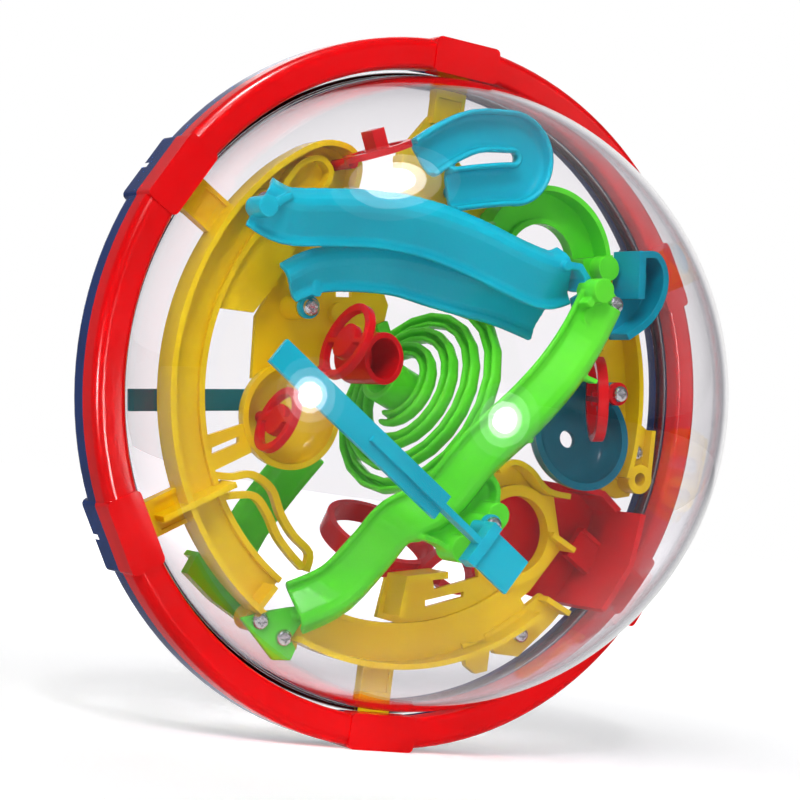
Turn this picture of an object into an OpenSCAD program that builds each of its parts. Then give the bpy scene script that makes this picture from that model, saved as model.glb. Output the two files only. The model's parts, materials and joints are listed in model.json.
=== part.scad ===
// Maze ball: a clear ball held in a two-part ring, with coloured marble tracks inside.
// Tracks are laid out on the ring's own plane: X right, Y up, Z towards the front.
// in_row() then stands the ring up, so that its axis points along -Y and +Z is up.

/* [Ball] */
// Outside radius of the clear ball
ball_r = 89.4; // [89:0.1:89.6]
// Wall of the clear ball
ball_wall = 1.8; // [1.4:0.1:2]
// Outside radius of the flange that the ring clamps
flange_r = 95; // [94:0.1:95]
// Thickness of that flange
flange_t = 2; // [1.6:0.1:2]

/* [Ring] */
// Outside radius of the ring
ring_r = 100; // [100:0.5:101]
// Inside radius of the ring
ring_bore = 91; // [90.5:0.1:91.5]
// Depth of each half of the ring
ring_t = 8; // [7.5:0.1:9]
// Width of the six raised blocks
block_w = 21; // [18:1:24]
// Distance from the centre to a block's flat outer face
block_r = 100.2; // [100:0.1:100.6]

/* [Tracks] */
// Wall of the moulded tracks
wall = 1.6; // [1.4:0.1:1.8]
// Inside radius of the running channel
run_in = 65; // [64:0.5:65.5]
// Outside radius of the running channel
run_out = 77.5; // [77:0.1:78]
// Height of the channel's outer wall
run_h = 7; // [6:0.5:8]
// Width of the spokes that reach the ring
spoke_w = 10; // [8:0.5:10]

/* [Marble] */
// Diameter of the steel marble
marble_d = 8; // [7:0.5:8]

/* [Screws] */
// Diameter of a screw's shank
screw_d = 2.4; // [2:0.1:2.6]
// Diameter of a screw's head
head_d = 4.8; // [4.4:0.1:5]

/* [Hidden] */

red = [0.83, 0.02, 0.05];
blue = [0.05, 0.25, 0.62];
cyan = [0.05, 0.66, 0.82];
green = [0.22, 0.80, 0.12];
yellow = [0.98, 0.78, 0.05];
steel = [0.75, 0.76, 0.78];
clear = [0.93, 0.93, 0.98, 0.25];

fine = 180;
mid = 64;
steps = 4;
block_angles = [for (k = [0:5]) 22.5 + 60 * k];
stand_turn = 7.5;
slant = 155;
fit_gap = 0.3;
groove_r = flange_r + fit_gap;
groove_h = flange_t + fit_gap;
ring_screw_r = 97.6;
floor_z = 0;
marble_r = marble_d / 2;
marble_run = 71.5;
marble_angle = 134;
marble_z = floor_z + marble_r + fit_gap;

// ---- curves ----

function unit(v) = v / norm(v);
function polar(r, a) = [r * cos(a), r * sin(a)];
function arc(c, r, from, to, n = 3) =
  [for (i = [0:n - 1]) c + polar(r, from + (to - from) * i / (n - 1))];
function bend(a, b, c, d, t) =
  0.5 * (2 * b + (c - a) * t + (2 * a - 5 * b + 4 * c - d) * t * t
    + (3 * b - a - 3 * c + d) * t * t * t);
function smooth(p, n = steps) = [
  for (i = [0:len(p) - 2]) for (k = [0:n - 1])
    bend(p[max(i - 1, 0)], p[i], p[i + 1], p[min(i + 2, len(p) - 1)], k / n),
  p[len(p) - 1]];
function smooth_loop(p, n = steps) = let (m = len(p)) [
  for (i = [0:m - 1]) for (k = [0:n - 1])
    bend(p[(i + m - 1) % m], p[i], p[(i + 1) % m], p[(i + 2) % m], k / n)];
function heading(p, i) = unit(p[min(i + 1, len(p) - 1)] - p[max(i - 1, 0)]);
function left_of(v) = [-v[1], v[0]];
function ribbon(p, w) = concat(
  [for (i = [0:len(p) - 1]) p[i] - left_of(heading(p, i)) * w / 2],
  [for (i = [len(p) - 1:-1:0]) p[i] + left_of(heading(p, i)) * w / 2]);
function loop_edge(p, d) = let (m = len(p)) [
  for (i = [0:m - 1]) p[i] + left_of(unit(p[(i + 1) % m] - p[(i + m - 1) % m])) * d];
function mirrored(o) = [for (i = [len(o) - 1:-1:0]) [-o[i][0], o[i][1]]];

// U section, open upwards, with its floor's underside at 0
function gutter(w, left_h, right_h, r = 3) = let (h = w / 2) concat(
  arc([-h + r, r], r, 180, 270),
  arc([h - r, r], r, 270, 360),
  arc([h - wall / 2, right_h - wall / 2], wall / 2, 0, 180),
  arc([h - r, r], r - wall, 360, 270),
  arc([-h + r, r], r - wall, 270, 180),
  arc([-h + wall / 2, left_h - wall / 2], wall / 2, 0, 180));

// Shelf section: floor on top at 0, a raised lip on the right and a skirt down on the left
function shelf(w, lip, skirt, r = 3.2) = let (h = w / 2) concat(
  [[-h, -skirt], [-h + wall, -skirt]],
  arc([-h + r, -r], r - wall, 180, 90),
  arc([h - 1.2, 1.2 - wall], 1.2, 270, 360),
  arc([h - wall / 2, lip - wall / 2], wall / 2, 0, 180),
  [[h - wall, 0.8], [h - wall - 0.8, 0]],
  arc([-h + r, -r], r, 90, 180, 4));

// ---- building blocks ----

module in_row() {
  rotate([90, 0, 0])
    rotate([0, 0, stand_turn])
      children();
}

module at_angles(angles) {
  for (a = angles)
    rotate([0, 0, a])
      children();
}

// Closed outline carried along a path, rolled about it, its width growing towards the end
module sweep(path, outline, roll = 0, grow = 1, up = [0, 0, 1]) {
  n = len(outline);
  m = len(path);
  points = [
    for (i = [0:m - 1])
      let (
        t = heading(path, i),
        k = 1 + (grow - 1) * i / (m - 1),
        side = unit(cross(up, t)),
        s = side * cos(roll) + cross(t, side) * sin(roll),
        u = cross(t, s)
      )
      for (q = outline) path[i] + s * k * q[0] + u * q[1]];
  skin = [
    for (i = [0:m - 2], j = [0:n - 1])
      let (a = i * n + j, b = i * n + (j + 1) % n)
      each [[a, a + n, b + n], [a, b + n, b]]];
  ends = [[for (j = [0:n - 1]) j], [for (j = [n - 1:-1:0]) (m - 1) * n + j]];
  polyhedron(points = points, faces = concat(skin, ends), convexity = 6);
}

module slab(outline, low, high) {
  translate([0, 0, low])
    linear_extrude(high - low)
      polygon(outline);
}

module fence(path, low, high, w = wall) {
  slab(ribbon(path, w), low, high);
}

module rim(outline, low, high) {
  translate([0, 0, low])
    linear_extrude(high - low)
      difference() {
        polygon(loop_edge(outline, wall / 2));
        polygon(loop_edge(outline, -wall / 2));
      }
}

module post(at, r, low, high, hole = 0) {
  translate([at[0], at[1], low])
    difference() {
      cylinder(r = r, h = high - low, $fn = mid);
      if (hole > 0)
        translate([0, 0, -1])
          cylinder(r = hole, h = high - low + 2, $fn = mid);
    }
}

// Hole for a screw's shank, and room for its head above the given level
module screw_seat(at, top) {
  post(at, shank_hole, top - 9, top + 1);
  post(at, head_d / 2 + 0.4, top, top + 9);
}

module spoke(from_r) {
  half = flange_t - 0.1;
  translate([from_r, -spoke_w / 2, -wall])
    cube([ball_r - 4 - from_r, spoke_w, wall * 1.6]);
  for (side = [-1, 1])
    translate([from_r, side * (spoke_w - 1.2) / 2 - 0.6, -wall])
      cube([ball_r - 4 - from_r, 1.2, 3.4]);
  translate([ball_r - 4.5, -spoke_w / 2, -half])
    cube([flange_r - 0.3 - ball_r + 4.5, spoke_w, 2 * half]);
}

module channel(from, to, outer_h = run_h, inner_h = 1.5) {
  section = [
    [run_in, -wall], [run_out, -wall], [run_out, outer_h], [run_out - wall, outer_h],
    [run_out - wall, 0], [run_in + wall, 0], [run_in + wall, inner_h], [run_in, inner_h]];
  rotate([0, 0, from])
    rotate_extrude(angle = to - from, $fn = fine)
      polygon(section);
}

module cross_wall(a, from_r, to_r, h) {
  rotate([0, 0, a])
    translate([from_r, -wall / 2, -wall])
      cube([to_r - from_r, wall, h + wall]);
}

// Turns the local Z axis into the slanted line that the spiral and the hoops share
module on_slant(at, lean = 0) {
  translate(at)
    rotate([0, 0, slant])
      rotate([0, 90 - lean, 0])
        children();
}

// ---- ring and ball ----

module half_ring() {
  section = concat(
    [[ring_bore, 0], [ring_r, 0]],
    arc([ring_r - 3, ring_t - 3], 3, 0, 90, 7),
    arc([ring_bore + 1.5, ring_t - 1.5], 1.5, 90, 180, 5));
  difference() {
    union() {
      rotate_extrude($fn = fine)
        polygon(section);
      at_angles(block_angles)
        block();
    }
    translate([0, 0, -1])
      cylinder(r = groove_r, h = groove_h + 1, $fn = fine);
  }
}

module block() {
  inner = ring_bore - 0.9;
  h = block_w / 2;
  c = 1.5;
  slab(concat(
    arc([block_r - c, -h + c], c, 270, 360, 4),
    arc([block_r - c, h - c], c, 0, 90, 4),
    arc([inner + c, h - c], c, 90, 180, 4),
    arc([inner + c, -h + c], c, 180, 270, 4)), 0, ring_t + 0.5);
}

module front_ring() {
  color(red) in_row()
    difference() {
      half_ring();
      at_angles(block_angles)
        post([ring_screw_r, 0], screw_d / 2 + 0.05, -1, 6);
    }
}

module rear_ring() {
  color(blue) in_row()
    difference() {
      mirror([0, 0, 1])
        half_ring();
      at_angles(block_angles) {
        post([ring_screw_r, 0], screw_d / 2 + 0.1, -ring_t - 2, 1);
        post([ring_screw_r, 0], head_d / 2 + 0.3, -ring_t - 2, -ring_t + 2.4);
      }
    }
}

module dome() {
  difference() {
    union() {
      intersection() {
        sphere(r = ball_r, $fn = fine);
        translate([-ball_r - 1, -ball_r - 1, 0])
          cube([2 * ball_r + 2, 2 * ball_r + 2, ball_r + 1]);
      }
      cylinder(r = flange_r, h = flange_t, $fn = fine);
    }
    sphere(r = ball_r - ball_wall, $fn = fine);
    at_angles(block_angles)
      translate([ball_r - 5, -spoke_w / 2 - fit_gap, -1])
        cube([12, spoke_w + 2 * fit_gap, flange_t + 1.01]);
  }
}

module front_dome() {
  color(clear) in_row()
    dome();
}

module rear_dome() {
  color(clear) in_row()
    mirror([0, 0, 1])
      dome();
}

// Pan-head cross-recess screw, head's underside at 0 and shank going down
module screw(length) {
  r = head_d / 2;
  difference() {
    union() {
      rotate_extrude($fn = mid)
        polygon(concat([[0, 0], [r, 0]], arc([r - 1.2, 0.6], 1.2, 0, 90, 5), [[0, 1.8]]));
      translate([0, 0, -length])
        cylinder(r = screw_d / 2, h = length + 0.1, $fn = mid);
    }
    for (a = [0, 90])
      rotate([0, 0, a])
        translate([-r * 0.55, -0.35, 1])
          cube([r * 1.1, 0.7, 2]);
  }
}

module ring_screws() {
  color(steel) in_row()
    at_angles(block_angles)
      translate([ring_screw_r, 0, -ring_t + 2.4])
        rotate([180, 0, 0])
          screw(10.6);
}

// ---- yellow tracks ----

lobe_edge = smooth([[-60, 48], [-50, 58], [-41, 64.5], [-32, 68.5], [-24, 67.5], [-21, 63], [-22, 57]]);
lobe_back = [[-30, 52], [-37, 40], [-44, 29], [-50, 22], [-60, 23], [-67, 27], [-66, 40]];
pocket_high = smooth_loop([[-43, 56], [-38, 62.5], [-32, 64.5], [-28.5, 61], [-31, 56], [-37, 52],
  [-42, 51]]);
pocket_low = smooth_loop([[-46, 44], [-53, 35], [-57, 28], [-54, 24], [-48, 26], [-43, 34], [-40, 41]]);
rail_high = smooth([[-61, -22], [-56, -22.5], [-50, -22], [-44, -26], [-41, -33], [-37, -39],
  [-32, -44], [-33, -49]]);
rail_low = smooth([[-60, -28], [-55, -27.5], [-49, -28], [-45, -33], [-42, -39], [-38, -44], [-34, -48]]);
foot_screws = [[-48.4, -61.5], [-41.2, -66.5]];
channel_end = 231;
lower_from = 241;
plate_screw = [38.4, -70.8];
bracket_screw = [79.4, -17.7];
boss_screw = [-36.4, 23.7];
cup_screw = [50, 26];
platform_screw = [4.9, -34.8];
gate_screw = [61.8, 0.4];
shank_hole = screw_d / 2 + 0.05;
seat = 0.03;

module main_track() {
  color(yellow) in_row()
    difference() {
      union() {
        channel(139, channel_end);
        slab(concat(lobe_edge, lobe_back), -wall, 0);
        fence(lobe_edge, -wall, run_h - 0.5);
        rim(pocket_high, -wall, 4);
        rim(pocket_low, -wall, 4);
        fence(rail_high, -wall, 0.8, 2);
        fence(rail_low, -wall, 0.8, 2);
        cross_wall(202.5, run_in - 2, ball_r - 4, run_h + 0.6);
        cross_wall(channel_end - 2, run_in + 4, run_out - 0.5, run_h - 0.5);
        at_angles([142.5, 202.5])
          spoke(run_out - 1);
        post(foot_screws[0], 3.4, -6, 1);
      }
      screw_seat(foot_screws[0], 1);
    }
}

ring_hole = [35, -41];
plate_edge = [[30, -76], [38, -77.5], [50, -68], [53, -65], [46, -59], [38, -64], [26, -70]];
inner_wall = smooth([[27, -22], [32, -19.5], [38, -22], [44, -28], [52, -30]]);

module lower_track() {
  color(yellow) in_row()
    difference() {
      union() {
        channel(lower_from, 303);
        slab([[-10, -63], [-7, -52], [8, -51], [9, -56], [24, -53], [22, -40], [27, -22], [38, -20],
          [50, -30], [53, -46], [42, -58], [30, -66], [0, -66]], -wall, 0);
        post(ring_hole, 14.6, -wall, 2.6);
        fence([[46, -41], [54, -46]], -wall, 6);
        fence([[45, -60], [53.5, -65]], -wall, 5);
        fence([[-7, -62], [-5, -51.5], [8, -51]], -wall, 9, 2);
        fence(inner_wall, -wall, 6);
        slab(plate_edge, -wall, 0.6);
        slab([[18, -72], [20, -79], [23, -81.5], [27, -81], [28, -72]], -wall, 1);
        post(foot_screws[1], 3.4, -6, 1);
        slab([[-42, -69.5], [-36, -70.5], [-35, -66], [-41, -64]], -wall, 0.9);
        at_angles([262.5])
          spoke(run_out - 1);
      }
      post(ring_hole, 11.4, -4, 4);
      slab([[6, -59], [19, -57], [19, -58.6], [6, -61]], -4, 4);
      screw_seat(foot_screws[1], 1);
      screw_seat(plate_screw, 0.6);
    }
}

module right_bracket() {
  color(yellow) in_row()
    difference() {
      union() {
        channel(-19, 27);
        slab([[74, -4], [84, -11], [82.5, -25], [78, -29], [70, -24]], -wall, 0.6);
        fence([[84, -11], [82.5, -25]], -wall, 4);
        fence([[60, 14], [68, 20], [75, 21]], -wall, 9, 3);
        post([77.5, -25.5], 4.4, -wall, 6, 2);
        at_angles([22.5])
          spoke(run_out - 1);
        slab([[60, -3], [66, -4.5], [66, 5], [60, 3.8]], -4, 1.4);
        slab([[68, -28], [74, -22], [80, -26], [78, -31], [73, -31.5], [67, -29.5]], -wall, 0);
      }
      screw_seat(bracket_screw, 0.6);
      post(gate_screw, shank_hole, -5, 2);
    }
}

module top_bracket() {
  color(yellow) in_row() {
    slab([[5, 79], [15, 77], [14, 68], [24, 56], [27, 50], [12, 50], [-6, 58], [-5, 68]], -wall, 0);
    at_angles([82.5])
      spoke(77);
    fence([[-5, 67], [-6, 58], [12, 50], [18, 50]], -wall, 4);
  }
}

dish_at = [-38, -6];

module dish_track() {
  bowl = concat(
    [[0, -8], [8, -8]], arc([8, -1], 7, 270, 360, 6), [[15, 0.6], [13.4, 0.6]],
    arc([8, -1], 5.4, 360, 270, 6), [[0, -6.4]]);
  color(yellow) in_row() {
    translate([dish_at[0], dish_at[1], 0])
      rotate_extrude($fn = fine)
        polygon(bowl);
    difference() {
      union() {
        slab([[-47, 21], [-41, 31], [-34, 41], [-14, 43], [-9, 34], [-5, 25], [-7, 17], [-16, 13],
          [-26, 12], [-28, 5], [-48, 4]], -6, -4.4);
        slab([[-66, -12], [-52, -8], [-50, -16], [-64, -22]], -wall, 0);
      }
      translate([dish_at[0], dish_at[1], -10])
        cylinder(r = 14, h = 12, $fn = mid);
      slab([[-62, -14.6], [-54, -11.6], [-54, -13.4], [-62, -16.4]], -4, 4);
      slab([[-22, 27], [-17, 27], [-17, 30], [-22, 30]], -8, 0);
      difference() {
        translate([0, 0, -10])
          cylinder(r = 90, h = 20);
        translate([0, 0, -11])
          cylinder(r = run_in - 0.02, h = 22, $fn = fine);
      }
    }
    post(boss_screw, 3.4, -4.6, 4.9, shank_hole);
    post([-21.7, 22.4], 3, -4.6, -2);
  }
}

// ---- green tracks ----

ramp_path = smooth([[-41, -57, 9], [-30, -52, 12], [-22, -42, 17], [-17, -34, 22], [-7, -28, 27],
  [4, -15, 30], [18, -3, 32], [28, 7, 33], [36, 17, 33], [41, 27, 34.4]]);

platform_edge = smooth([[0, -18], [6, -19.5], [11.2, -24.5], [11.5, -30], [14, -34.4], [9, -38.5], [5, -43],
  [-1, -44], [-6.5, -40], [-12, -38]]);
bar_seat = 34.3;

module ramp_green() {
  color(green) in_row() {
    sweep(ramp_path, shelf(13, 2.6, 7.5), -33);
    difference() {
      slab([[-54, -60.5], [-50.2, -59.9], [-46.3, -59.1], [-38.6, -58.4], [-34.6, -58.4],
        [-34.6, -62], [-38.6, -67.2], [-37, -70], [-38.5, -73], [-44, -72.5]], 1, 2.8);
      for (at = foot_screws)
        post(at, shank_hole, 0, 4);
    }
    post([-36.7, -60.2], 1.9, 1.5, 11);
    post([38.6, 22.3], 2.6, 27.5, 33.6);
    slab(concat(platform_edge, [[-10, -32], [-6, -24]]), 23.6, 25.4);
    fence(platform_edge, 23.6, 29);
    difference() {
      union() {
        post(platform_screw, 3, 25, bar_seat);
        post([9, -32.5], 3.6, 24, 33);
      }
      post(platform_screw, shank_hole, 24, bar_seat + 1);
    }
    post([-0.9, -41.5], 3.8, 22, 31);
    difference() {
      slab([[38, 26], [44, 30], [50, 29.5], [53, 26], [50, 22.6], [40, 19.5], [36, 20]], 27.05, 28.65);
      post(cup_screw, shank_hole, 26, 30);
    }
  }
}

module arc_green() {
  centre = [40, 38];
  section = [
    [11.5, -1], [22.5, -1], [22.5, 7], [20.9, 7], [20.9, 0.6], [13.1, 0.6], [13.1, 3], [11.5, 3]];
  color(green) in_row() {
    post([24.5, 50.5], 2, 0.05, 2.5);
    translate([centre[0], centre[1], 3])
      rotate([0, 0, 8]) {
        rotate_extrude(angle = 142, $fn = fine)
          polygon(section);
        translate([11.5, -7, -1])
          cube([11, 7, 9]);
        translate([17, -3.5, 7])
          cylinder(r = 3.6, h = 6, $fn = mid);
      }
  }
}

spiral_at = [-4, 2.5, -4];
spiral_lean = 10;
spiral_turns = 3.5;
spiral_rings = 72;
spiral_path = [
  for (i = [0:spiral_rings])
    let (f = i / spiral_rings, a = 90 + 360 * spiral_turns * f, r = 9.5 + 20.5 * f)
    [r * cos(a), r * sin(a), -5 - 9 * f]];

module spiral_green() {
  tube = [[4.6, -9], [6.6, -9], [6.6, 5], [4.6, 5]];
  color(green) in_row() {
    on_slant(spiral_at, spiral_lean) {
      rotate_extrude($fn = mid)
        polygon(tube);
      sweep(spiral_path, gutter(4.4, 5, 5, 2.1));
      rotate([0, 0, 200])
        translate([5.6, -1.3, -5.45])
          cube([5.6, 2.6, 1]);
    }
    fence([[-4, 9.5], [-8, 20]], -4.35, -2.4, 4);
  }
}

rear_path = smooth([[-24, -17, -14], [-31, -27, -18], [-39, -38, -20], [-47, -50, -18]]);

module rear_ramp_green() {
  color(green) in_row() {
    sweep(rear_path, gutter(13, 5, 5), 180);
    post([-31, -17.5], 2.2, -16, -7.4);
  }
}

module rear_stop_green() {
  color(green) in_row() {
    slab([[-62, -44], [-52, -53], [-42, -60], [-46, -65], [-57, -57], [-65, -49]], -12, -8);
    fence([[-62, -44], [-52, -53], [-42, -60]], -16, -8);
    post([-54, -50], 2.4, -9, -wall - 0.05);
  }
}

// ---- blue tracks ----

upper_path = smooth([[-58, 50, 18], [-50, 46, 20], [-37, 46, 21], [-23, 46, 22], [-9, 44, 24], [5, 39.5, 26],
  [18, 34, 28], [28, 31, 28.5], [35, 32.5, 28]]);
second_path = smooth([[-45, 29, 12], [-37, 32.5, 13], [-25, 33.5, 14], [-13, 33, 15], [-2, 30.5, 16.5],
  [8, 28.5, 17.5], [19, 26.5, 18], [32, 22.5, 18.5]]);

module upper_track_blue() {
  color(cyan) in_row() {
    sweep(upper_path, mirrored(shelf(13, 2, 7)), 32, 1.15);
    post([-38, 45], 2, 0.05, 18);
  }
}

module second_track_blue() {
  color(cyan) in_row() {
    sweep(second_path, mirrored(shelf(10, 2, 5)), 32, 1.6);
    post(boss_screw, 3.2, 5, 7, shank_hole);
    fence([[-36.5, 26.5], [-37, 32]], 5.05, 12, 2);
  }
}

hook_turn = [for (a = [100:-25:-100]) concat([23, 67] + polar(7.6, a), 11.5)];
hook_path = smooth(concat(
  [[-5, 65.5, 10], [2, 70, 10.5], [11, 73.8, 11]], hook_turn, [[12, 58.4, 12], [3, 57, 12]]), 3);

module hook_track_blue() {
  color(cyan) in_row() {
    sweep(hook_path, gutter(12.4, 6, 6));
    post([9.5, 72.5], 2.2, 0.05, 11.5);
    post([12, 57.5], 2.2, 0.05, 12.4);
  }
}

bar_from = [-62, 12, 38];
bar_to = [-5, -38, 44];
deck_part = 0.82;
rib_start = 0.45;

module bar_blue() {
  run = bar_to - bar_from;
  length = norm(run);
  color(cyan) in_row() {
    post(platform_screw, 3, bar_seat + 0.05, bar_seat + 1.6, shank_hole);
    post([0.6, -35], 1.8, bar_seat + 0.05, 43);
    translate(bar_from)
      rotate([0, -asin(run[2] / length), atan2(run[1], run[0])]) {
        translate([0, -3.8, -1.8])
          cube([length * deck_part, 7.6, 1.8]);
        translate([length * rib_start, -0.9, -1.8])
          cube([length * (1 - rib_start) + 1, 1.8, 3.6]);
        translate([length, -6.5, -3])
          cube([3, 13, 5]);
        translate([length + 2.5, -5.5, -1])
          cube([13, 11, 1.6]);
      }
  }
}

module bowl_blue() {
  bowl = concat(
    [[2.6, -7], [8, -7]], arc([8, 1], 8, 270, 360, 8), [[16.6, 2.2], [14.4, 2.2]],
    arc([8, 1], 6.4, 360, 270, 8), [[2.6, -5.4]]);
  color(cyan) in_row()
    difference() {
      union() {
        translate([52, -12, 9])
          rotate([-12, 0, 0])
            rotate_extrude($fn = fine)
              polygon(bowl);
        post(gate_screw, 3.4, 1.5, 14);
      }
      post(gate_screw, shank_hole, 0, 15);
    }
}

cup_edge = smooth([[65, 41], [71, 41], [74, 36], [73, 29], [68, 22], [60, 17]]);

module cup_blue() {
  color(cyan) in_row() {
    slab(concat(cup_edge, [[48, 20], [46, 28], [52, 31], [62.4, 31], [62.4, 41]]), 12, 13.6);
    post(cup_screw, 3.2, 12, 27, shank_hole);
    fence(cup_edge, 12, 22, 2.2);
    fence([[62.5, 28], [63, 42]], 12, 25, 2.6);
  }
}

module rear_bar_blue() {
  color(cyan) in_row() {
    translate([-82, -5, -12])
      cube([36, 6, 2.2]);
    post([-70, -2], 2.4, -10, -wall - 0.05);
  }
}

// ---- red pieces ----

// Flat hoop with a solid core joined to it by short bars
module hoop(r, core, t = 2.4) {
  translate([0, 0, -t / 2]) {
    difference() {
      cylinder(r = r, h = t, $fn = mid);
      translate([0, 0, -1])
        cylinder(r = r - 2.2, h = t + 2, $fn = mid);
    }
    cylinder(r = core, h = t, $fn = mid);
    at_angles([0, 180])
      translate([core - 0.5, -0.8, 0])
        cube([r - core - 1, 1.6, t]);
  }
}

module disc_red() {
  color(red) in_row() {
    translate([-21.5, 66, 17])
      rotate([0, 0, 108])
        rotate([0, 90, 0]) {
          hoop(9.5, 3.5, 1.8);
          translate([-3, -2, 0.5])
            cube([6, 4, 5.5]);
        }
    post([-25.5, 63.2], 1.6, 0.05, 10.5);
  }
}

module twin_hoop_red() {
  low = [-46, -7, 7.5];
  high = [-32, 14.5, 20];
  color(red) in_row() {
    on_slant(low)
      hoop(9.5, 4.5);
    on_slant(high)
      hoop(11, 5);
    post([-44.6, -6.6], 1.8, -5.9, 4);
    hull() {
      on_slant(low + (high - low) * 0.36)
        cylinder(r = 1.6, h = 2, center = true, $fn = 32);
      on_slant(low + (high - low) * 0.66)
        cylinder(r = 1.6, h = 2, center = true, $fn = 32);
    }
  }
}

module cup_red() {
  color(red) in_row() {
    translate([-21, 10, 4])
      rotate([0, 12, 0])
        difference() {
          cylinder(r = 7.2, h = 13, $fn = mid);
          translate([0, 0, 2])
            cylinder(r = 5.5, h = 14, $fn = mid);
        }
    post([-21, 14.5], 2, -4.35, 5);
  }
}

module gate_red() {
  color(red) in_row() {
    translate([51, -1, 19.6])
      rotate([0, 63, 0])
        hoop(12.3, 2, 3);
    post(gate_screw, 3.4, 14.05, 15.6, shank_hole);
    fence([[53, 0.4], [59.2, 0.4]], 14.05, 16.5, 3);
  }
}

curl_path = smooth([[3, -54], [10, -48], [17, -45], [23, -49], [24, -55], [18, -57], [12, -54]]);

module low_hoop_red() {
  color(red) in_row() {
    translate([1, -43, -19])
      rotate([-62, 0, -11])
        difference() {
          cylinder(r = 17, h = 6, center = true, $fn = fine);
          cylinder(r = 14.8, h = 8, center = true, $fn = fine);
        }
    slab([[-3, -50], [5, -50], [5, -55], [-3, -55]], -5, -wall - 0.05);
    fence(curl_path, -6, -wall - 0.05, 2.4);
  }
}

chute_low = [[58, -28], [64, -29.5], [70, -35]];
chute_high = [[70, -35], [66, -50], [60, -58], [56, -63]];

module chute_red() {
  color(red) in_row() {
    slab([[22, -30], [40, -24], [57, -27], [65, -29], [71, -35], [67, -50], [57, -64], [40, -58],
      [26, -54]], -8, -6.4);
    fence(chute_low, -8, 6, 2);
    fence(chute_high, -8, 18, 2);
    at_angles([-37.5])
      spoke(72);
  }
}

// ---- loose pieces ----

module track_screws() {
  color(steel) in_row() {
    for (at = foot_screws)
      translate([at[0], at[1], 2.8 + seat])
        screw(7);
    translate([boss_screw[0], boss_screw[1], 7 + seat])
      screw(6);
    translate([plate_screw[0], plate_screw[1], 0.6 + seat])
      screw(2);
    translate([bracket_screw[0], bracket_screw[1], 0.6 + seat])
      screw(2);
    translate([cup_screw[0], cup_screw[1], 28.65 + seat])
      screw(8);
    translate([platform_screw[0], platform_screw[1], bar_seat + 1.6 + seat])
      screw(8);
    translate([gate_screw[0], gate_screw[1], 15.6 + seat])
      screw(16);
  }
}

module marble() {
  color(steel) in_row()
    rotate([0, 0, marble_angle])
      translate([marble_run, 0, marble_z])
        sphere(r = marble_r, $fn = mid);
}

front_ring();
rear_ring();
front_dome();
rear_dome();
ring_screws();
main_track();
lower_track();
right_bracket();
top_bracket();
dish_track();
ramp_green();
arc_green();
spiral_green();
rear_ramp_green();
rear_stop_green();
upper_track_blue();
second_track_blue();
hook_track_blue();
bar_blue();
bowl_blue();
cup_blue();
rear_bar_blue();
disc_red();
twin_hoop_red();
cup_red();
gate_red();
low_hoop_red();
chute_red();
track_screws();
marble();
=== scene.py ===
"""Looks of the maze ball: moulded plastic tracks in a clear ball, held in a two-part ring.
Everything is in metres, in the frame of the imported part: +Z up, the ball's axis along -Y."""

import json
import math

import bmesh
import bpy
from mathutils import Matrix, Vector

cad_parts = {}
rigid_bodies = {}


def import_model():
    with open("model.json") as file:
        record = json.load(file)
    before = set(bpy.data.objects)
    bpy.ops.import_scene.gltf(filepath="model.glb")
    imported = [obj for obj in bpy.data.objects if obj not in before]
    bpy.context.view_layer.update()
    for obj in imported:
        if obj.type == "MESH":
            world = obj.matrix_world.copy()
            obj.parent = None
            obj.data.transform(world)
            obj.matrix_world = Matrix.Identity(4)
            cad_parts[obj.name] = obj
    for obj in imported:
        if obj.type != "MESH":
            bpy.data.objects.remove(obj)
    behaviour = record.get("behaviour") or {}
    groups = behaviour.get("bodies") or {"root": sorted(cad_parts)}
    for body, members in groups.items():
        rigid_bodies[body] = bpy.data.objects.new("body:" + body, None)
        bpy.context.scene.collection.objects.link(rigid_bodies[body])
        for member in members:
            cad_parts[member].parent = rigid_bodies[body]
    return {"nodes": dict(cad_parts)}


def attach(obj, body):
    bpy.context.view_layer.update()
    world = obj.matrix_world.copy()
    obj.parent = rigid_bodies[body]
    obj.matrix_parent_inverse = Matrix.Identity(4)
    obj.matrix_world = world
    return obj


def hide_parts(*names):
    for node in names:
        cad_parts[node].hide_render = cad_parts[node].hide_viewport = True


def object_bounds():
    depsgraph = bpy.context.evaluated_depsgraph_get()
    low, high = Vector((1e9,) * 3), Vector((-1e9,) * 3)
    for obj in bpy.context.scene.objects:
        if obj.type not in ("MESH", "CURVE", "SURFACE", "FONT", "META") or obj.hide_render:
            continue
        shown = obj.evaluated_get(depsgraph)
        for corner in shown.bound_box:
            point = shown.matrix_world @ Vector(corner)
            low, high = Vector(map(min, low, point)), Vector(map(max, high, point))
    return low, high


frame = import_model()
cad_box = [list(v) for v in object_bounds()]
MM = 0.001
BODY = "maze_ball"

BALL_R, WALL = 89.4, 1.8
FLANGE_R, FLANGE_T = 95.0, 2.0
SPOKE_W = 10.6
BLOCK_ANGLES = [22.5 + 60 * k for k in range(6)]
STAND_TURN = 7.5
POST_SIDES = 28
DOME_SIDES = 256
DOME_STEPS = 72
WELD = 2e-6

# Ring plane (x right, y up, z front, in mm) to the row frame
TO_ROW = (Matrix.Rotation(math.radians(90), 4, "X")
          @ Matrix.Rotation(math.radians(STAND_TURN), 4, "Z")
          @ Matrix.Scale(MM, 4))


# ---------------------------------------------------------------- materials

def new_material(name):
    m = bpy.data.materials.new(name)
    m.use_nodes = True
    t = m.node_tree
    t.nodes.clear()
    out = t.nodes.new("ShaderNodeOutputMaterial")
    return m, t, out


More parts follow.
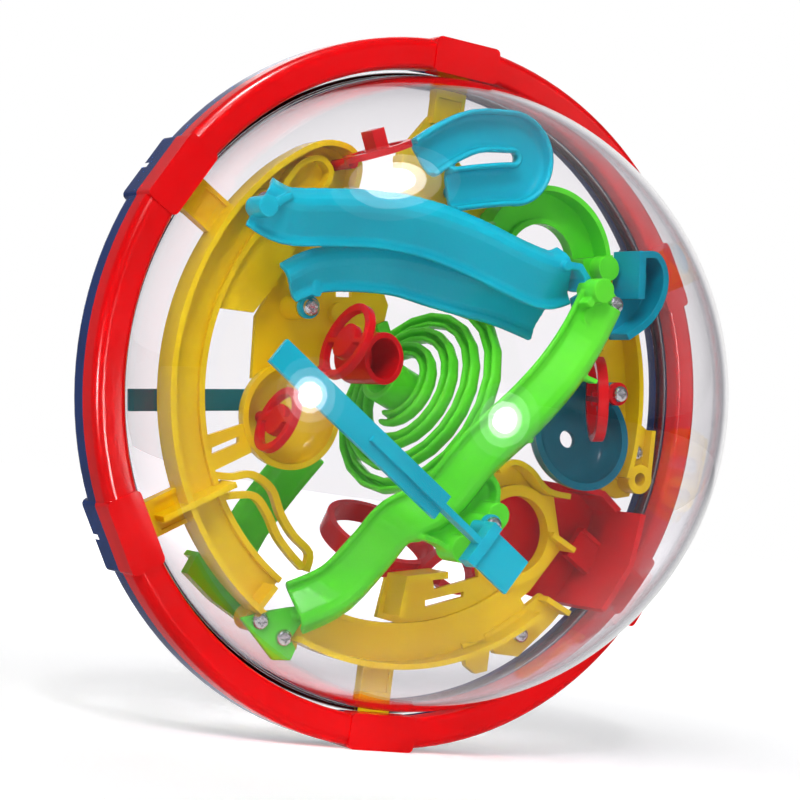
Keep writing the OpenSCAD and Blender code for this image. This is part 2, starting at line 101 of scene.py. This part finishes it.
def noise(t, coord, scale, detail=3.0, rough=0.5, distortion=0.0):
    n = t.nodes.new("ShaderNodeTexNoise")
    n.inputs["Scale"].default_value = scale
    n.inputs["Detail"].default_value = detail
    n.inputs["Roughness"].default_value = rough
    n.inputs["Distortion"].default_value = distortion
    t.links.new(coord, n.inputs["Vector"])
    return n.outputs["Fac"]


def ramp(t, fac, stops):
    r = t.nodes.new("ShaderNodeValToRGB")
    while len(r.color_ramp.elements) < len(stops):
        r.color_ramp.elements.new(0.5)
    for e, (pos, col) in zip(r.color_ramp.elements, stops):
        e.position = pos
        e.color = (*col, 1)
    t.links.new(fac, r.inputs["Fac"])
    return r.outputs["Color"]


def spread(t, fac, lo, hi, start=0.3, end=0.7):
    r = t.nodes.new("ShaderNodeMapRange")
    r.inputs["From Min"].default_value = start
    r.inputs["From Max"].default_value = end
    r.inputs["To Min"].default_value = lo
    r.inputs["To Max"].default_value = hi
    t.links.new(fac, r.inputs["Value"])
    return r.outputs["Result"]


def bump(t, height, strength, distance, base=None):
    b = t.nodes.new("ShaderNodeBump")
    b.inputs["Strength"].default_value = strength
    b.inputs["Distance"].default_value = distance
    t.links.new(height, b.inputs["Height"])
    if base is not None:
        t.links.new(base, b.inputs["Normal"])
    return b.outputs["Normal"]


def moulded(name, dark, mid, light, rough=(0.13, 0.22), glow=0.12, coat=0.0, flow=35.0):
    """Glossy moulded plastic: clouded pigment, a faint orange peel, and light that enters a little."""
    m, t, out = new_material(name)
    s = t.nodes.new("ShaderNodeBsdfPrincipled")
    c = t.nodes.new("ShaderNodeTexCoord").outputs["Object"]
    cloud = noise(t, c, flow, 2.0, 0.45, 0.3)
    t.links.new(ramp(t, cloud, [(0.3, dark), (0.5, mid), (0.72, light)]), s.inputs["Base Color"])
    grain = noise(t, c, 420.0, 3.0, 0.6)
    t.links.new(spread(t, grain, *rough), s.inputs["Roughness"])
    peel = noise(t, c, 260.0, 2.0, 0.5)
    wave = noise(t, c, 60.0, 1.0, 0.4)
    n = bump(t, peel, 0.06, 0.00012)
    n = bump(t, wave, 0.06, 0.0003, n)
    t.links.new(n, s.inputs["Normal"])
    s.inputs["IOR"].default_value = 1.5
    s.inputs["Specular IOR Level"].default_value = 0.26
    s.inputs["Subsurface Weight"].default_value = glow
    s.inputs["Subsurface Radius"].default_value = (1.0, 0.8, 0.6)
    s.inputs["Subsurface Scale"].default_value = 0.0025
    s.inputs["Coat Weight"].default_value = coat
    s.inputs["Coat Roughness"].default_value = 0.08
    t.links.new(s.outputs["BSDF"], out.inputs["Surface"])
    return m


def metal(name, dark, light, rough):
    m, t, out = new_material(name)
    s = t.nodes.new("ShaderNodeBsdfPrincipled")
    c = t.nodes.new("ShaderNodeTexCoord").outputs["Object"]
    spots = noise(t, c, 300.0, 4.0, 0.6)
    t.links.new(ramp(t, spots, [(0.3, dark), (0.7, light)]), s.inputs["Base Color"])
    fine = noise(t, c, 900.0, 3.0, 0.6)
    t.links.new(spread(t, fine, *rough), s.inputs["Roughness"])
    t.links.new(bump(t, fine, 0.15, 0.00005), s.inputs["Normal"])
    s.inputs["Metallic"].default_value = 1.0
    t.links.new(s.outputs["BSDF"], out.inputs["Surface"])
    return m


def clear_plastic(name):
    """Clear plastic with a faint cool tinge, and a colour ramp that darkens the wall where it is seen edge
    on: a little for the longer way through the plastic, and far more as painted shade for the dark rim. Its
    index and the colour of its gloss are set below those of real styrene. Shadow rays pass it, so that lamps
    reach what it holds."""
    m, t, out = new_material(name)
    s = t.nodes.new("ShaderNodeBsdfPrincipled")
    c = t.nodes.new("ShaderNodeTexCoord").outputs["Object"]
    haze = noise(t, c, 18.0, 2.0, 0.5)
    body = ramp(t, haze, [(0.3, (0.972, 0.958, 0.976)), (0.7, (0.988, 0.977, 0.990))])
    edge = t.nodes.new("ShaderNodeLayerWeight")
    edge.inputs["Blend"].default_value = 0.5
    # Darker towards the edge-on rim: slightly for the longer way through the plastic, then down to a painted
    # dark rim, painted shade, at the very edge.
    edge_tint_and_painted_rim = ramp(t, edge.outputs["Facing"],
                [(0.62, (1, 1, 1)), (0.84, (0.96, 0.94, 0.97)), (0.95, (0.87, 0.85, 0.88)),
                 (0.995, (0.26, 0.26, 0.29))])
    mul = t.nodes.new("ShaderNodeMix")
    mul.data_type = "RGBA"
    mul.blend_type = "MULTIPLY"
    mul.inputs["Factor"].default_value = 1.0
    t.links.new(body, mul.inputs[6])
    t.links.new(edge_tint_and_painted_rim, mul.inputs[7])
    t.links.new(mul.outputs[2], s.inputs["Base Color"])
    s.inputs["Roughness"].default_value = 0.0
    swell = noise(t, c, 22.0, 1.0, 0.4)
    t.links.new(bump(t, swell, 0.06, 0.0003), s.inputs["Normal"])
    s.inputs["Transmission Weight"].default_value = 1.0
    s.inputs["IOR"].default_value = 1.38
    s.inputs["Specular Tint"].default_value = (0.74, 0.72, 0.77, 1)
    see = t.nodes.new("ShaderNodeBsdfTransparent")
    see.inputs["Color"].default_value = (0.92, 0.915, 0.93, 1)
    path = t.nodes.new("ShaderNodeLightPath")
    mix = t.nodes.new("ShaderNodeMixShader")
    t.links.new(path.outputs["Is Shadow Ray"], mix.inputs[0])
    t.links.new(s.outputs["BSDF"], mix.inputs[1])
    t.links.new(see.outputs["BSDF"], mix.inputs[2])
    t.links.new(mix.outputs["Shader"], out.inputs["Surface"])
    return m


RED = moulded("red_moulded", (0.52, 0.000, 0.002), (0.64, 0.000, 0.003), (0.74, 0.002, 0.006), glow=0.06)
# Painted light: a brighter copy of the red plastic, raised to make up for the lamp light the ring lacks.
RED_RING_PAINTED_LIGHT = moulded("red_ring_with_painted_light", (0.72, 0.000, 0.001), (0.84, 0.000, 0.002), (0.90, 0.001, 0.004),
                   rough=(0.16, 0.26), glow=0.04)
NAVY = moulded("blue_ring_moulded", (0.002, 0.018, 0.10), (0.004, 0.028, 0.15), (0.008, 0.045, 0.21),
               rough=(0.16, 0.26), glow=0.02, coat=0.08)
YELLOW = moulded("yellow_moulded", (0.79, 0.50, 0.001), (0.84, 0.57, 0.002), (0.88, 0.62, 0.005), glow=0.14)
GREEN = moulded("green_moulded", (0.070, 0.60, 0.014), (0.098, 0.70, 0.022), (0.135, 0.78, 0.034), glow=0.16)
CYAN = moulded("cyan_moulded", (0.001, 0.38, 0.51), (0.002, 0.43, 0.56), (0.004, 0.47, 0.62), glow=0.12)
# Painted shade: a darker copy of the cyan plastic, for the corner cup that sits in shadow.
CYAN_PAINTED_SHADE = moulded("cyan_with_painted_shade", (0.002, 0.22, 0.32), (0.003, 0.27, 0.38), (0.006, 0.33, 0.45),
                  glow=0.10)
# Painted shade: a much darker copy of the cyan plastic, for the catch bowl that sits in shadow.
CYAN_PAINTED_DEEP_SHADE = moulded("cyan_with_painted_deep_shade", (0.001, 0.11, 0.17), (0.002, 0.14, 0.21), (0.004, 0.18, 0.26), glow=0.08)
# Painted shade: a dark copy of the cyan plastic, for the rear bar that sits in shadow.
CYAN_PAINTED_DARK_SHADE = moulded("cyan_with_painted_dark_shade", (0.002, 0.13, 0.18), (0.004, 0.17, 0.22), (0.008, 0.22, 0.27), glow=0.06)
CLEAR = clear_plastic("clear_moulded")
SCREW = metal("screw_plating", (0.62, 0.62, 0.64), (0.86, 0.86, 0.88), (0.16, 0.30))
BEARING = metal("marble_polish", (0.74, 0.75, 0.78), (0.88, 0.89, 0.92), (0.04, 0.10))


# ---------------------------------------------------------------- mesh work

def put(name, mesh, material, body, replaces):
    """An object in one material that rides a body and stands in for CAD nodes."""
    mesh.materials.clear()
    mesh.materials.append(material)
    o = bpy.data.objects.new(name, mesh)
    bpy.context.scene.collection.objects.link(o)
    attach(o, body)
    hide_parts(*replaces)
    return o


def cad_copy(node):
    """A welded copy of a CAD node's mesh with its flat faces whole again."""
    bm = bmesh.new()
    bm.from_mesh(frame["nodes"][node].data)
    bmesh.ops.remove_doubles(bm, verts=bm.verts, dist=WELD)
    bmesh.ops.dissolve_degenerate(bm, edges=bm.edges, dist=WELD)
    return bm


def apply_modifiers(o):
    dg = bpy.context.evaluated_depsgraph_get()
    mesh = bpy.data.meshes.new_from_object(o.evaluated_get(dg), depsgraph=dg)
    old = o.data
    o.modifiers.clear()
    o.data = mesh
    bpy.data.meshes.remove(old)


def softened(node, name, material, width=0.3, angle=28, body=BODY):
    """A CAD node with its edges rounded off as the mould leaves them."""
    bm = cad_copy(node)
    bmesh.ops.dissolve_limit(bm, angle_limit=math.radians(0.4), verts=bm.verts, edges=bm.edges)
    mesh = bpy.data.meshes.new(name)
    bm.to_mesh(mesh)
    bm.free()
    o = put(name, mesh, material, body, (node,))
    b = o.modifiers.new("edges", "BEVEL")
    b.width = width * MM
    b.segments = 3
    b.limit_method = "ANGLE"
    b.angle_limit = math.radians(angle)
    b.use_clamp_overlap = True
    apply_modifiers(o)
    smooth(o, 34)
    w = o.modifiers.new("shade", "WEIGHTED_NORMAL")
    w.keep_sharp = True
    w.weight = 60


def smooth(o, angle):
    me = o.data
    me.polygons.foreach_set("use_smooth", [True] * len(me.polygons))
    me.set_sharp_from_angle(angle=math.radians(angle))
    me.update()


def add_prism(bm, outline, low, high):
    """Closed outline on the ring's plane, in mm, raised from low to high."""
    a = [bm.verts.new(TO_ROW @ Vector((x, y, low))) for x, y in outline]
    b = [bm.verts.new(TO_ROW @ Vector((x, y, high))) for x, y in outline]
    n = len(outline)
    faces = [bm.faces.new(a[::-1]), bm.faces.new(b)]
    faces += [bm.faces.new((a[i], a[(i + 1) % n], b[(i + 1) % n], b[i])) for i in range(n)]
    bmesh.ops.recalc_face_normals(bm, faces=faces)


def add_post(bm, at, r, low, high):
    """Round post of radius r about the point at, in mm, with POST_SIDES sides."""
    turns = [math.tau * k / POST_SIDES for k in range(POST_SIDES)]
    add_prism(bm, [(at[0] + r * math.cos(a), at[1] + r * math.sin(a)) for a in turns], low, high)


def ribbon(points, w):
    """Outline of a wall of width w that follows the points."""
    sides = ([], [])
    for i, p in enumerate(points):
        q, r = points[max(i - 1, 0)], points[min(i + 1, len(points) - 1)]
        d = Vector((r[0] - q[0], r[1] - q[1])).normalized() * (w / 2)
        sides[0].append((p[0] + d.y, p[1] - d.x))
        sides[1].append((p[0] - d.y, p[1] + d.x))
    return sides[0] + sides[1][::-1]


def remoulded(node, name, material, voxel=0.3, passes=14, body=BODY, extra=None):
    """A CAD node swept in short steps, turned into one smooth skin with rounded edges."""
    bm = cad_copy(node)
    if extra:
        extra(bm)
    mesh = bpy.data.meshes.new(name)
    bm.to_mesh(mesh)
    bm.free()
    o = put(name, mesh, material, body, (node,))
    r = o.modifiers.new("skin", "REMESH")
    r.mode = "VOXEL"
    r.voxel_size = voxel * MM
    r.use_smooth_shade = True
    s = o.modifiers.new("soften", "SMOOTH")
    s.factor = 0.5
    s.iterations = passes
    apply_modifiers(o)
    o.data.polygons.foreach_set("use_smooth", [True] * len(o.data.polygons))


def revolved(name, profile, n):
    """Closed outline (radius, height) turned about the ring's axis, in the row frame."""
    bm = bmesh.new()
    rings = []
    for k in range(n):
        a = 2 * math.pi * k / n
        rings.append([bm.verts.new(TO_ROW @ Vector((r * math.cos(a), r * math.sin(a), z)))
                      if r > 1e-6 else None for r, z in profile])
    poles = {}
    for i, (r, z) in enumerate(profile):
        if r <= 1e-6:
            poles[i] = bm.verts.new(TO_ROW @ Vector((0, 0, z)))
    m = len(profile)
    for k in range(n):
        a, b = rings[k], rings[(k + 1) % n]
        for i in range(m):
            j = (i + 1) % m
            if i in poles and j in poles:
                continue
            if i in poles:
                bm.faces.new((poles[i], a[j], b[j]))
            elif j in poles:
                bm.faces.new((a[i], poles[j], b[i]))
            else:
                bm.faces.new((a[i], a[j], b[j], b[i]))
    bmesh.ops.recalc_face_normals(bm, faces=bm.faces)
    mesh = bpy.data.meshes.new(name)
    bm.to_mesh(mesh)
    bm.free()
    return mesh


def dome(name, node, side):
    """Half of the clear ball with its flange, and a notch where each spoke passes."""
    base = 0.04
    fillet = 1.6
    inner_r = BALL_R - WALL
    prof = []
    a0 = math.asin(base / inner_r)
    for i in range(DOME_STEPS + 1):
        a = a0 + (math.pi / 2 - a0) * i / DOME_STEPS
        prof.append((inner_r * math.cos(a), inner_r * math.sin(a)))
    prof[-1] = (0.0, inner_r)
    z1 = FLANGE_T + fillet
    a1 = math.asin(z1 / BALL_R)
    outer = []
    for i in range(DOME_STEPS + 1):
        a = math.pi / 2 + (a1 - math.pi / 2) * i / DOME_STEPS
        outer.append((BALL_R * math.cos(a), BALL_R * math.sin(a)))
    outer[0] = (0.0, BALL_R)
    prof += outer
    foot = outer[-1][0]
    for i in range(1, 6):
        a = math.radians(180 + 90 * i / 6)
        prof.append((foot + fillet + fillet * math.cos(a), z1 + fillet * math.sin(a)))
    prof += [(FLANGE_R - 0.3, FLANGE_T), (FLANGE_R, FLANGE_T - 0.3),
             (FLANGE_R, base + 0.2), (FLANGE_R - 0.2, base)]
    prof = [(r, z * side) for r, z in prof]
    mesh = revolved(name, prof, DOME_SIDES)
    o = put(name, mesh, CLEAR, BODY, (node,))
    bm = bmesh.new()
    for a in BLOCK_ANGLES:
        c = math.radians(a)
        m = (TO_ROW @ Matrix.Rotation(c, 4, "Z")
             @ Matrix.Translation((BALL_R + 1.5, 0, side * (FLANGE_T / 2 - 0.4)))
             @ Matrix.Diagonal((13, SPOKE_W, FLANGE_T + 0.8, 1)))
        bmesh.ops.create_cube(bm, size=1.0, matrix=m)
    bmesh.ops.recalc_face_normals(bm, faces=bm.faces)
    cm = bpy.data.meshes.new(name + "_cut")
    bm.to_mesh(cm)
    bm.free()
    cutter = bpy.data.objects.new(name + "_cut", cm)
    bpy.context.scene.collection.objects.link(cutter)
    b = o.modifiers.new("notches", "BOOLEAN")
    b.operation = "DIFFERENCE"
    b.solver = "EXACT"
    b.object = cutter
    bpy.context.view_layer.update()
    apply_modifiers(o)
    bpy.data.objects.remove(cutter)
    bpy.data.meshes.remove(cm)
    o.data.materials.clear()
    o.data.materials.append(CLEAR)
    smooth(o, 30)


dome("clear_front_half", "front_dome", 1)
dome("clear_rear_half", "rear_dome", -1)

softened("front_ring", "red_front_ring", RED_RING_PAINTED_LIGHT, 0.6)
softened("rear_ring", "blue_rear_ring", NAVY, 0.6)
softened("ring_screws", "ring_fasteners", SCREW, 0.12)
softened("track_screws", "track_fasteners", SCREW, 0.12)
softened("marble", "running_marble", BEARING, 0.1, 60, "marble")

for node, name in (("main_track", "main_channel"), ("lower_track", "lower_channel"),
                   ("right_bracket", "side_bracket"), ("top_bracket", "upper_bracket"),
                   ("dish_track", "dish_channel")):
    softened(node, name, YELLOW, 0.32)


def ramp_details(bm):
    """The round boss at the ramp's top end, and the short stiffening tabs on its lower edge."""
    add_post(bm, (39.4, 29.6), 3.5, 29.5, 38.4)
    add_prism(bm, ribbon([(35.6, 25.5), (39.4, 29.6), (43.6, 27.5)], 2.2), 31, 36.6)
    add_prism(bm, ribbon([(37.0, 5.6), (41.2, 4.2)], 1.4), 29.5, 33.4)
    add_prism(bm, ribbon([(17.6, -10.6), (21.0, -12.4)], 1.4), 27.5, 31.5)


def upper_details(bm):
    """The rolled end of the upper track at the left, and the rounded end wall at its right."""
    add_post(bm, (-57.4, 49.4), 2.9, 14.5, 23.0)
    add_prism(bm, ribbon([(-57.2, 48.6), (-53.4, 51.0), (-50.2, 52.6)], 2.0), 16.0, 22.6)
    add_prism(bm, ribbon([(31, 36.6), (35.6, 36.2), (38.0, 33.0), (37.4, 29.4)], 2.2), 24.5, 32.4)
    add_post(bm, (31.2, 36.4), 1.5, 24.5, 32.6)


remoulded("ramp_green", "long_ramp", GREEN, passes=7, extra=ramp_details)
for node, name in (("spiral_green", "spiral_run"), ("rear_ramp_green", "rear_ramp")):
    remoulded(node, name, GREEN)
for node, name in (("arc_green", "arc_channel"), ("rear_stop_green", "rear_stop")):
    softened(node, name, GREEN, 0.32)
remoulded("upper_track_blue", "upper_channel", CYAN, passes=6, extra=upper_details)
for node, name in (("second_track_blue", "second_channel"), ("hook_track_blue", "hook_channel")):
    remoulded(node, name, CYAN, passes=6)
softened("bar_blue", "cross_bar", CYAN, 0.32)
softened("cup_blue", "corner_cup", CYAN_PAINTED_SHADE, 0.32)
softened("bowl_blue", "catch_bowl", CYAN_PAINTED_DEEP_SHADE, 0.32)
softened("rear_bar_blue", "rear_bar", CYAN_PAINTED_DARK_SHADE, 0.32)
for node, name in (("disc_red", "entry_disc"), ("cup_red", "peg_cup"), ("gate_red", "gate"),
                   ("low_hoop_red", "low_hoop"), ("chute_red", "side_chute")):
    softened(node, name, RED, 0.3)
remoulded("twin_hoop_red", "twin_hoop", RED, 0.26, 5)


# ---------------------------------------------------------------- floor, light, camera

def straight_view(t, limit):
    """1 in a view that is straight or only through clear plastic, and 0 in mirror images and bounced
    light. The backdrop counts its rays one step deeper than a surface does, so its limit is higher."""
    path = t.nodes.new("ShaderNodeLightPath")
    turns = t.nodes.new("ShaderNodeMath")
    turns.operation = "SUBTRACT"
    t.links.new(path.outputs["Ray Depth"], turns.inputs[0])
    t.links.new(path.outputs["Transmission Depth"], turns.inputs[1])
    none = t.nodes.new("ShaderNodeMath")
    none.operation = "LESS_THAN"
    t.links.new(turns.outputs["Value"], none.inputs[0])
    none.inputs[1].default_value = limit
    return none.outputs["Value"]


def floor():
    m, t, out = new_material("studio_floor")
    s = t.nodes.new("ShaderNodeBsdfPrincipled")
    c = t.nodes.new("ShaderNodeTexCoord").outputs["Object"]
    t.links.new(ramp(t, noise(t, c, 6.0, 3.0), [(0.3, (0.93, 0.93, 0.93)), (0.7, (0.97, 0.97, 0.97))]),
                s.inputs["Base Color"])
    s.inputs["Roughness"].default_value = 0.9
    s.inputs["Specular IOR Level"].default_value = 0.0
    # Painted light: the floor glows though it is no lamp, less near the ball than far off, and only faintly
    # in the light it throws on other things.
    s.inputs["Emission Color"].default_value = (1, 1, 1, 1)
    far = t.nodes.new("ShaderNodeVectorMath")
    far.operation = "LENGTH"
    t.links.new(c, far.inputs[0])
    seen = straight_view(t, 0.5)
    glow = t.nodes.new("ShaderNodeMath")
    glow.operation = "MULTIPLY"
    t.links.new(spread(t, far.outputs["Value"], 0.34, 0.95, 0.15, 1.0), glow.inputs[0])
    t.links.new(spread(t, seen, 0.12, 1.0, 0.0, 1.0), glow.inputs[1])
    t.links.new(glow.outputs["Value"], s.inputs["Emission Strength"])
    t.links.new(s.outputs["BSDF"], out.inputs["Surface"])
    bm = bmesh.new()
    bmesh.ops.create_circle(bm, cap_ends=True, segments=96, radius=14.0)
    mesh = bpy.data.meshes.new("studio_floor")
    bm.to_mesh(mesh)
    bm.free()
    mesh.materials.append(m)
    o = bpy.data.objects.new("studio_floor", mesh)
    bpy.context.scene.collection.objects.link(o)
    o.location = (0, 0, cad_box[0][2] - 0.0001)
    o.visible_glossy = False


def lit_sets():
    """What each kind of lamp is linked to: glint lamps to the clear ball and the ring, and fill lamps to
    all but the clear ball."""
    sets = {"glint": bpy.data.collections.new("glint_lit"), "fill": bpy.data.collections.new("fill_lit")}
    for o in bpy.context.scene.objects:
        if o.type == "MESH":
            shell = o.name.startswith("clear_")
            if shell or o.name.endswith("_ring"):
                sets["glint"].objects.link(o)
            if not shell:
                sets["fill"].objects.link(o)
    return sets


def lamp(name, at, aim, size, watts, role):
    """A disc of light. The glint lamps make the bright spots on the ball, and the tracks inside get
    part of their light too."""
    d = bpy.data.lights.new(name, "AREA")
    d.shape = "DISK"
    d.size = size
    d.energy = watts
    o = bpy.data.objects.new(name, d)
    bpy.context.scene.collection.objects.link(o)
    o.location = at
    o.rotation_euler = (Vector(aim) - Vector(at)).to_track_quat("-Z", "Y").to_euler()
    o.visible_camera = False
    o.visible_transmission = False
    o.visible_diffuse = role == "fill"
    o.light_linking.receiver_collection = LIT[role]


def soft_glint(name, at, aim, sizes, watts):
    """Discs one behind the other, so that the lamp's mirror image fades out towards its edge."""
    away = (Vector(at) - Vector(aim)).normalized()
    for k, (size, power) in enumerate(zip(sizes, watts)):
        lamp(f"{name}_{k}", Vector(at) + away * 0.004 * k, aim, size, power, "glint")


floor()
LIT = lit_sets()
soft_glint("top_glint", (-0.298, -0.139, 0.910), (-0.047, -0.057, 0.05),
           (0.18, 0.28, 0.42, 0.60), (5.2, 3.6, 1.8, 0.6))
soft_glint("left_glint", (-0.878, -0.432, -0.112), (-0.065, -0.061, -0.007),
           (0.14, 0.20, 0.30, 0.42), (2.8, 2.0, 1.1, 0.5))
soft_glint("front_glint", (0.019, -0.979, -0.114), (-0.024, -0.086, -0.008),
           (0.14, 0.20, 0.30, 0.42), (2.8, 2.0, 1.1, 0.5))
lamp("key", (-1.1, -1.3, 1.5), (0, 0, 0), 1.1, 23.0, "fill")
lamp("spark", (-0.55, -1.0, 1.1), (0, 0, 0), 0.12, 3.2, "fill")
lamp("side", (1.3, -1.2, 0.5), (0, 0, 0), 0.9, 2.5, "fill")
lamp("rear", (0.8, 1.5, 1.2), (0, 0, 0), 1.2, 4.0, "fill")


def studio():
    """A white backdrop behind the ball, and a dim grey room around it that its gloss mirrors."""
    world = bpy.data.worlds.new("studio")
    bpy.context.scene.world = world
    world.use_nodes = True
    t = world.node_tree
    sky = t.nodes["Background"]
    c = t.nodes.new("ShaderNodeTexCoord").outputs["Generated"]
    dot = t.nodes.new("ShaderNodeVectorMath")
    dot.operation = "DOT_PRODUCT"
    t.links.new(c, dot.inputs[0])
    dot.inputs[1].default_value = (0.512, 0.858, 0.03)
    half = t.nodes.new("ShaderNodeMapRange")
    half.inputs["From Min"].default_value = -1.0
    half.inputs["From Max"].default_value = 1.0
    t.links.new(dot.outputs["Value"], half.inputs["Value"])
    room = ramp(t, half.outputs["Result"],
                [(0.0, (0.19, 0.19, 0.20)), (0.5, (0.19, 0.19, 0.20)), (0.85, (0.20, 0.20, 0.21)),
                 (0.93, (0.46, 0.46, 0.48)), (0.968, (1.0, 1.0, 1.0))])
    beside = t.nodes.new("ShaderNodeVectorMath")
    beside.operation = "DOT_PRODUCT"
    t.links.new(c, beside.inputs[0])
    beside.inputs[1].default_value = (0.99, -0.10, 0.10)
    shade = t.nodes.new("ShaderNodeMix")
    shade.data_type = "RGBA"
    shade.blend_type = "MULTIPLY"
    t.links.new(spread(t, beside.outputs["Value"], 0.0, 1.0, 0.72, 0.92), shade.inputs["Factor"])
    t.links.new(room, shade.inputs[6])
    shade.inputs[7].default_value = (0.16, 0.16, 0.18, 1)
    mix = t.nodes.new("ShaderNodeMix")
    mix.data_type = "RGBA"
    t.links.new(straight_view(t, 1.5), mix.inputs["Factor"])
    t.links.new(shade.outputs[2], mix.inputs[6])
    mix.inputs[7].default_value = (1, 1, 1, 1)
    t.links.new(mix.outputs[2], sky.inputs["Color"])
    sky.inputs["Strength"].default_value = 1.0
    bpy.context.scene.view_settings.view_transform = "Standard"


studio()

EYE_AT = (-0.3409, -0.5665, -0.03096)
cam = bpy.data.cameras.new("camera")
cam.sensor_width = 36.0
cam.lens = 105.14
cam.clip_start = 0.02
cam.clip_end = 60.0
eye = bpy.data.objects.new("camera", cam)
bpy.context.scene.collection.objects.link(eye)
right = Vector((0.8488, -0.5130, 0.1259)).normalized()
back = Vector((-0.5117, -0.8580, -0.0436)).normalized()
up = back.cross(right).normalized()
right = up.cross(back)
eye.matrix_world = Matrix((
    (right.x, up.x, back.x, EYE_AT[0]),
    (right.y, up.y, back.y, EYE_AT[1]),
    (right.z, up.z, back.z, EYE_AT[2]),
    (0, 0, 0, 1)))
bpy.context.scene.camera = eye
